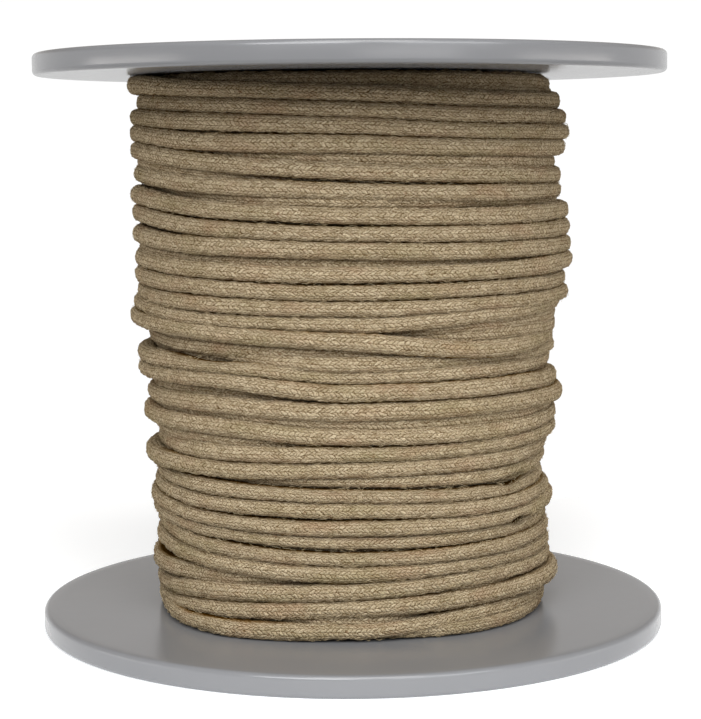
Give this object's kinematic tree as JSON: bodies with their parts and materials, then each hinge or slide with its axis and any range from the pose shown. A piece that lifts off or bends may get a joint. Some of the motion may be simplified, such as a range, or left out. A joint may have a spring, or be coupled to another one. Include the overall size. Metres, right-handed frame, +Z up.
{
  "type": "linen rope on a spool",
  "caption": "Round braided linen rope wound in slightly uneven layers on a flanged plastic spool that stands on end, with its free end tucked away.",
  "frame": {"origin": "centre of the face that the spool stands on", "axes": "+Z up along the spool's axis, -Y towards the viewer of the picture, +X to the right"},
  "size_m": [0.28, 0.28, 0.2555],
  "materials": {
    "linen_braid": "dry natural bast fibre, braided",
    "spool_plastic": "satin moulded"
  },
  "bodies": {
    "root": {"rope_winding": "linen_braid", "top_flange": "spool_plastic", "bottom_flange": "spool_plastic", "barrel": "spool_plastic"}
  },
  "joints": []
}
